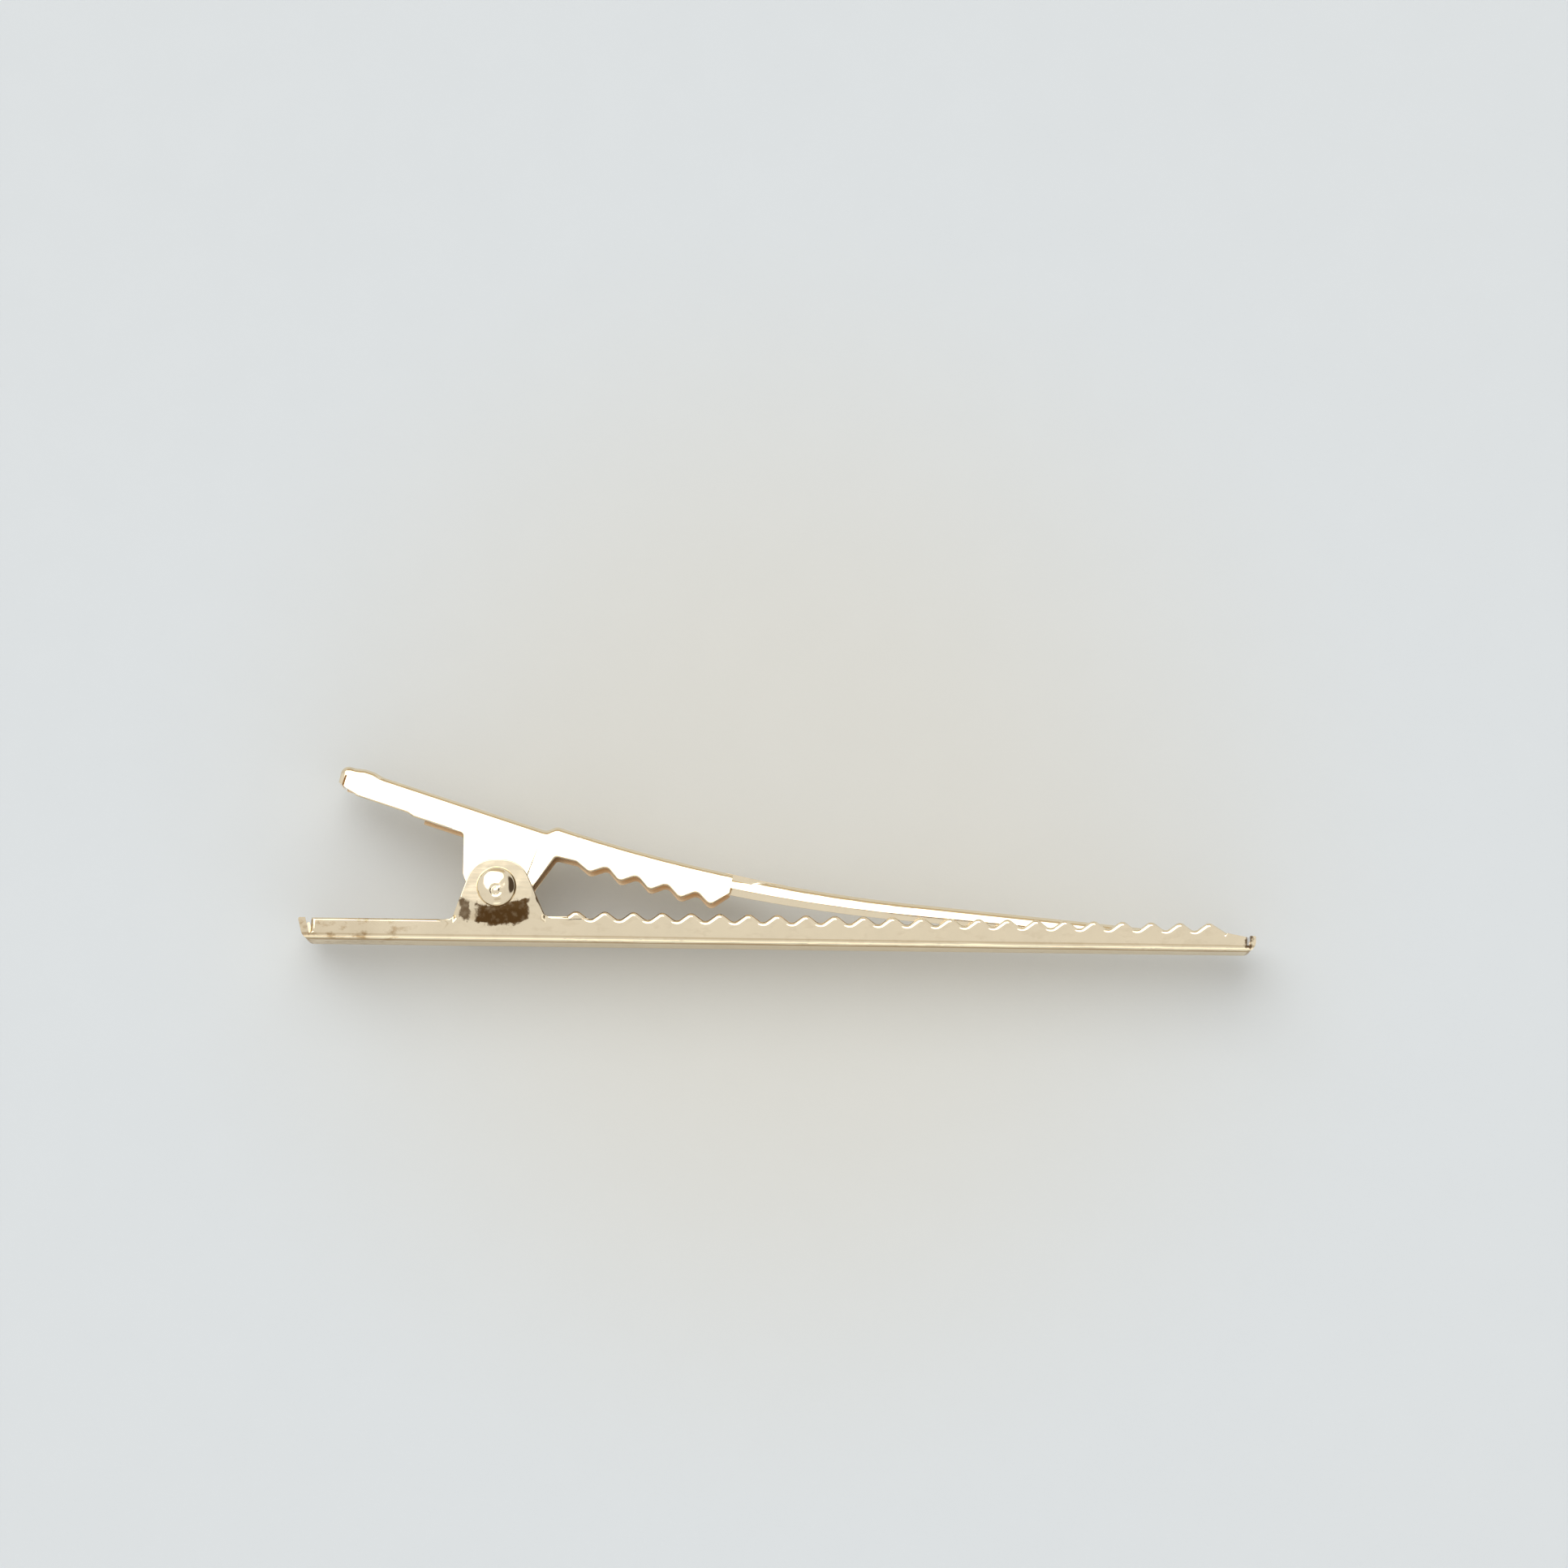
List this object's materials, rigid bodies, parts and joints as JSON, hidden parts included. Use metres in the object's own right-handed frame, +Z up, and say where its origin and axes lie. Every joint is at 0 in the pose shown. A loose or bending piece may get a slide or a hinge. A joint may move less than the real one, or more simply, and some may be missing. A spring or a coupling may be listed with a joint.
{
  "type": "sectioning clip",
  "caption": "Pale gold toothed metal hair clip: a long stamped channel jaw and a short curved lever jaw, riveted together and sprung shut.",
  "frame": {"origin": "middle of the clip's box, on the surface it lies on", "axes": "+X along the long jaw from its handle end to its tip, +Y from the long jaw's back towards the short jaw, +Z up along the rivet"},
  "size_m": [0.065, 0.0118, 0.0077],
  "materials": {
    "plated_sheet_long": "polished pale champagne-gold plating on stamped steel sheet",
    "plated_sheet_short": "polished pale champagne-gold plating on stamped steel sheet",
    "plated_rivet": "polished pale champagne-gold plating on a steel rivet",
    "spring_wire": "bright plated spring wire"
  },
  "bodies": {
    "long_jaw_body": {"long_jaw": "plated_sheet_long", "rivet": "plated_rivet", "torsion_spring": "spring_wire"},
    "short_jaw_body": {"short_jaw": "plated_sheet_short"}
  },
  "joints": [
    {"name": "jaw_hinge", "type": "hinge", "parent": "long_jaw_body", "child": "short_jaw_body", "pos_m": [-0.01907, -0.00224, 0.0038], "axis": [0, 0, 1], "range_deg": [0, 38], "stiffness_Nm_per_rad": 0.03, "springref_deg": -34.38, "deforming": ["torsion_spring"]}
  ]
}
